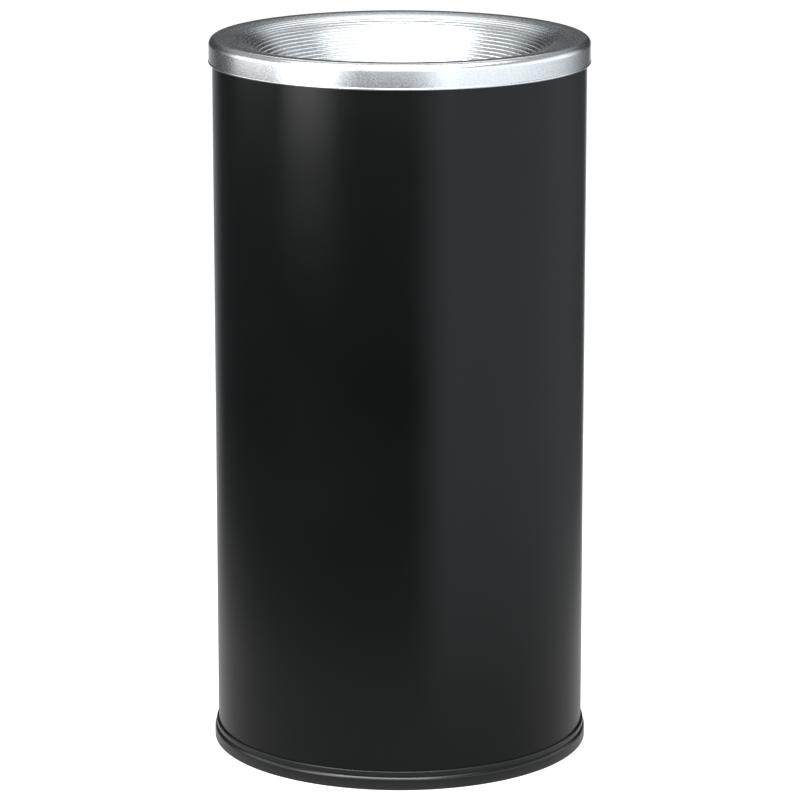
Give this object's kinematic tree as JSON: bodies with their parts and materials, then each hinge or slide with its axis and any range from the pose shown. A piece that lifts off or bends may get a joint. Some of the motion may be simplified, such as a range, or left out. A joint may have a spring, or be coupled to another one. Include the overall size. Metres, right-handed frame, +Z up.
{
  "type": "ashtray bin",
  "caption": "Tall round steel ash urn with a lift-off ribbed aluminium funnel top, an open throat, a vinyl foot ring and a lift-out pail with a wire bail.",
  "frame": {"origin": "middle of the foot ring's underside, on the floor", "axes": "+Z up along the axis of the cylinder; -Y is the front; the side seam is at the back, on +Y; the bail's pivots lie along X"},
  "size_m": [0.2674, 0.2674, 0.508],
  "materials": {
    "black_powder_coat": "near-black satin powder coat",
    "black_vinyl": "smooth black extruded vinyl, satin",
    "black_pan_paint": "black satin powder coat on pressed steel",
    "gasket_foam": "matt black closed-cell foam",
    "spun_aluminium": "satin spun aluminium with turning lines",
    "galvanised_sheet": "hot-dip galvanised sheet with a fine spangle",
    "galvanised_ear": "galvanised pressed steel",
    "galvanised_wire": "galvanised drawn wire",
    "rivet_aluminium": "dull aluminium rivets"
  },
  "bodies": {
    "urn_body": {"body_shell": "black_powder_coat", "base_ring": "black_vinyl", "base_pan": "black_pan_paint", "seat_gasket": "gasket_foam"},
    "funnel": {"funnel_top": "spun_aluminium"},
    "pail": {"pail_body": "galvanised_sheet", "pail_bottom": "galvanised_sheet", "pail_rim_wire": "galvanised_wire", "pail_ear_rivets": "rivet_aluminium", "pail_ear_right": "galvanised_ear", "pail_ear_left": "galvanised_ear"},
    "bail": {"bail_handle": "galvanised_wire"}
  },
  "joints": [
    {"name": "funnel_lift", "type": "slide", "parent": "urn_body", "child": "funnel", "axis": [0, 0, 1], "range_m": [0, 0.6]},
    {"name": "pail_lift", "type": "slide", "parent": "urn_body", "child": "pail", "axis": [0, 0, 1], "range_m": [0, 0.51]},
    {"name": "bail_swing", "type": "hinge", "parent": "pail", "child": "bail", "pos_m": [0, 0, 0.2905], "axis": [-1, 0, 0], "range_deg": [0, 226]}
  ],
  "couplings": [
    {"joint": "pail_lift", "follows": "funnel_lift", "ratio": 0.85}
  ]
}
